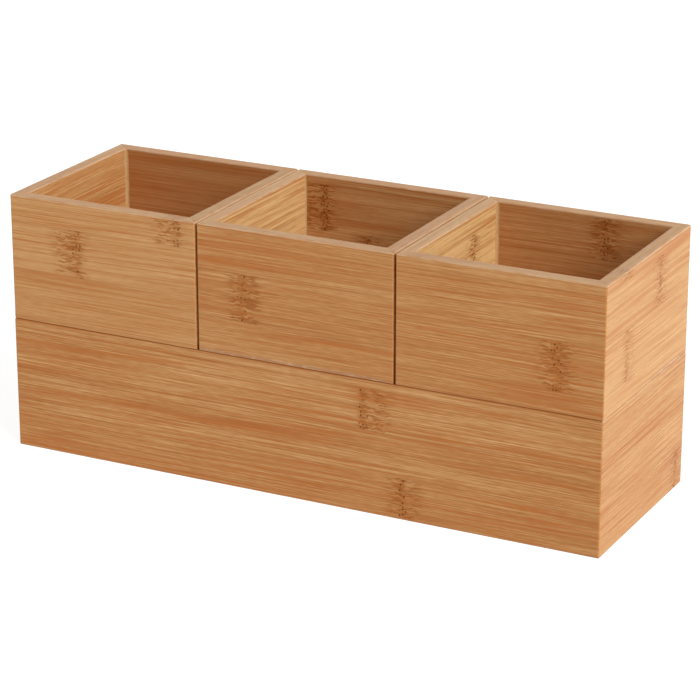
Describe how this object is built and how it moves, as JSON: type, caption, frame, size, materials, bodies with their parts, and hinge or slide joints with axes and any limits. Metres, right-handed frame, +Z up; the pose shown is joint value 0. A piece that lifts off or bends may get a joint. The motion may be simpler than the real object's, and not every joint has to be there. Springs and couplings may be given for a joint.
{
  "type": "desk organiser",
  "caption": "Stacking bamboo desk organiser: square pen cups that rest side by side on a long open tray and lift off, each box mitred from thin walls round a grooved-in bottom panel.",
  "frame": {"origin": "centre of the tray's footprint, on the surface that it stands on", "axes": "+X along the tray towards the right cup, -Y towards the front, +Z up, out of the open cups"},
  "size_m": [0.3, 0.1, 0.125],
  "materials": {
    "bamboo_wall": "laminated bamboo with nodes, sanded, thin satin varnish",
    "bamboo_panel": "thin laminated bamboo sheet, sanded, thin satin varnish"
  },
  "bodies": {
    "tray": {"tray_front_wall": "bamboo_wall", "tray_right_wall": "bamboo_wall", "tray_back_wall": "bamboo_wall", "tray_left_wall": "bamboo_wall", "tray_bottom_panel": "bamboo_panel"},
    "left_cup": {"left_cup_front_wall": "bamboo_wall", "left_cup_right_wall": "bamboo_wall", "left_cup_back_wall": "bamboo_wall", "left_cup_left_wall": "bamboo_wall", "left_cup_bottom_panel": "bamboo_panel"},
    "middle_cup": {"middle_cup_front_wall": "bamboo_wall", "middle_cup_right_wall": "bamboo_wall", "middle_cup_back_wall": "bamboo_wall", "middle_cup_left_wall": "bamboo_wall", "middle_cup_bottom_panel": "bamboo_panel"},
    "right_cup": {"right_cup_front_wall": "bamboo_wall", "right_cup_right_wall": "bamboo_wall", "right_cup_back_wall": "bamboo_wall", "right_cup_left_wall": "bamboo_wall", "right_cup_bottom_panel": "bamboo_panel"}
  },
  "joints": [
    {"name": "left_cup_lift", "type": "slide", "parent": "tray", "child": "left_cup", "axis": [0, 0, 1], "range_m": [0, 0.08]},
    {"name": "middle_cup_lift", "type": "slide", "parent": "tray", "child": "middle_cup", "axis": [0, 0, 1], "range_m": [0, 0.08]},
    {"name": "right_cup_lift", "type": "slide", "parent": "tray", "child": "right_cup", "axis": [0, 0, 1], "range_m": [0, 0.08]}
  ]
}
